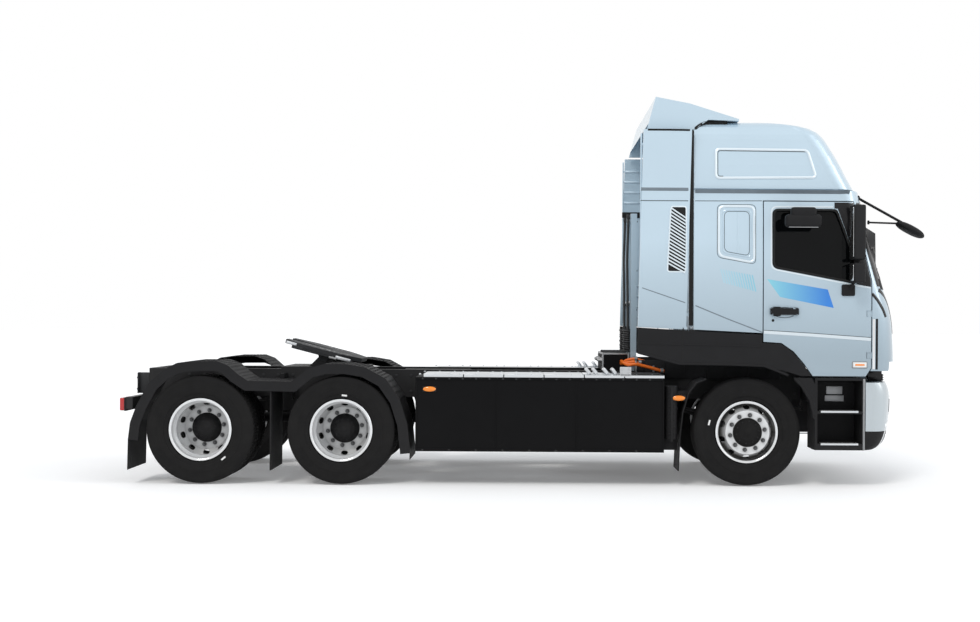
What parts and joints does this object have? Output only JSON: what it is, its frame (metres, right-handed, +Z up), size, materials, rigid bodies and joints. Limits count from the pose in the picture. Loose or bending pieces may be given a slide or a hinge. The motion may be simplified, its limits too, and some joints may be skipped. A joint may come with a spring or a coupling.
{
  "type": "semi truck tractor unit",
  "caption": "Battery-electric tractor unit with a tilting sleeper cab, steered front axle, twin-tyred rear axles and a coupling plate for a semi-trailer.",
  "frame": {"origin": "on the ground under the middle of the vehicle's box", "axes": "+X forward along the travel direction, +Y to the driver's left, +Z up"},
  "size_m": [7.7685, 2.994, 3.7498],
  "materials": {
    "cab_paint": "gloss pale blue",
    "black_plastic": "grained black",
    "frame_black": "satin black",
    "box_black": "satin black",
    "bare_aluminium": "brushed",
    "rim_silver": "silver",
    "tyre": "matte",
    "axle_iron": "painted casting",
    "pane": "tinted",
    "orange_cable": "satin",
    "hose_rubber": "satin",
    "seat_cloth": "woven",
    "dash_plastic": "grained",
    "red_lens": "clear red",
    "amber_lens": "amber",
    "lamp_lens": "clear"
  },
  "bodies": {
    "chassis": {"frame_rails": "frame_black", "front_axle_beam": "axle_iron", "leaf_springs": "frame_black", "rear_axles": "axle_iron", "drive_line": "box_black", "control_box": "box_black", "power_cables": "orange_cable", "air_tanks": "frame_black", "battery_boxes": "box_black", "battery_covers": "bare_aluminium", "rear_fenders": "black_plastic", "tail_bar": "frame_black", "tail_lamps": "red_lens", "fifth_wheel_base": "box_black", "bumper": "cab_paint", "bumper_valance": "black_plastic", "headlamps": "lamp_lens", "steps": "black_plastic", "front_mudguards": "black_plastic", "hose_stand": "frame_black", "air_hoses": "hose_rubber", "side_lamps": "amber_lens"},
    "cab": {"cab_shell": "cab_paint", "high_roof": "cab_paint", "windscreen": "pane", "cab_skirts": "black_plastic", "side_deflectors": "cab_paint", "roof_deflector": "cab_paint", "dashboard": "dash_plastic", "seats": "seat_cloth", "bunk": "seat_cloth", "steering_wheel": "dash_plastic", "front_mirror": "black_plastic", "door_hinges": "axle_iron"},
    "door_right": {"door_right": "cab_paint", "door_glass_right": "pane", "mirror_right": "black_plastic"},
    "knuckle_right": {"knuckle_right": "axle_iron"},
    "front_wheel_right": {"front_rim_right": "rim_silver", "front_tyre_right": "tyre"},
    "drive_1_wheel_right": {"drive_1_rim_right": "rim_silver", "drive_1_tyre_right": "tyre"},
    "drive_2_wheel_right": {"drive_2_rim_right": "rim_silver", "drive_2_tyre_right": "tyre"},
    "door_left": {"door_left": "cab_paint", "door_glass_left": "pane", "mirror_left": "black_plastic"},
    "knuckle_left": {"knuckle_left": "axle_iron"},
    "front_wheel_left": {"front_rim_left": "rim_silver", "front_tyre_left": "tyre"},
    "drive_1_wheel_left": {"drive_1_rim_left": "rim_silver", "drive_1_tyre_left": "tyre"},
    "drive_2_wheel_left": {"drive_2_rim_left": "rim_silver", "drive_2_tyre_left": "tyre"},
    "tie_rod": {"tie_rod": "axle_iron"},
    "fifth_wheel": {"fifth_wheel_plate": "box_black"},
    "front_lid": {"front_lid": "cab_paint"}
  },
  "joints": [
    {"name": "cab_tilt", "type": "hinge", "parent": "chassis", "child": "cab", "pos_m": [3.4, 0, 0.95], "axis": [0, 1, 0], "range_deg": [0, 45]},
    {"name": "door_right_hinge", "type": "hinge", "parent": "cab", "child": "door_right", "pos_m": [3.288, -1.234, 1.47], "axis": [0, 0, 1], "range_deg": [0, 70]},
    {"name": "door_left_hinge", "type": "hinge", "parent": "cab", "child": "door_left", "pos_m": [3.288, 1.234, 1.47], "axis": [0, 0, -1], "range_deg": [0, 70]},
    {"name": "front_lid_hinge", "type": "hinge", "parent": "cab", "child": "front_lid", "pos_m": [3.546, 0, 1.915], "axis": [0, -1, 0], "range_deg": [0, 75]},
    {"name": "steer_right", "type": "hinge", "parent": "chassis", "child": "knuckle_right", "pos_m": [2.15, -0.83, 0.522], "axis": [0, 0, 1], "range_deg": [-38, 38]},
    {"name": "steer_left", "type": "hinge", "parent": "chassis", "child": "knuckle_left", "pos_m": [2.15, 0.83, 0.522], "axis": [0, 0, 1], "range_deg": [-38, 38]},
    {"name": "tie_rod_slide", "type": "slide", "parent": "chassis", "child": "tie_rod", "axis": [0, 1, 0], "range_m": [-0.153, 0.153]},
    {"name": "front_wheel_right_spin", "type": "hinge", "parent": "knuckle_right", "child": "front_wheel_right", "pos_m": [2.15, -1.02, 0.522], "axis": [0, 1, 0], "continuous": true},
    {"name": "drive_1_wheel_right_spin", "type": "hinge", "parent": "chassis", "child": "drive_1_wheel_right", "pos_m": [-1.75, -1.105, 0.522], "axis": [0, 1, 0], "continuous": true},
    {"name": "drive_2_wheel_right_spin", "type": "hinge", "parent": "chassis", "child": "drive_2_wheel_right", "pos_m": [-3.1, -1.105, 0.522], "axis": [0, 1, 0], "continuous": true},
    {"name": "front_wheel_left_spin", "type": "hinge", "parent": "knuckle_left", "child": "front_wheel_left", "pos_m": [2.15, 1.02, 0.522], "axis": [0, 1, 0], "continuous": true},
    {"name": "drive_1_wheel_left_spin", "type": "hinge", "parent": "chassis", "child": "drive_1_wheel_left", "pos_m": [-1.75, 1.105, 0.522], "axis": [0, 1, 0], "continuous": true},
    {"name": "drive_2_wheel_left_spin", "type": "hinge", "parent": "chassis", "child": "drive_2_wheel_left", "pos_m": [-3.1, 1.105, 0.522], "axis": [0, 1, 0], "continuous": true},
    {"name": "fifth_wheel_tilt", "type": "hinge", "parent": "chassis", "child": "fifth_wheel", "pos_m": [-2.05, 0, 1.19], "axis": [0, -1, 0], "range_deg": [0, 27]}
  ],
  "couplings": [
    {"joint": "steer_left", "follows": "steer_right", "ratio": 1},
    {"joint": "tie_rod_slide", "follows": "steer_right", "m_per_rad": -0.23}
  ]
}
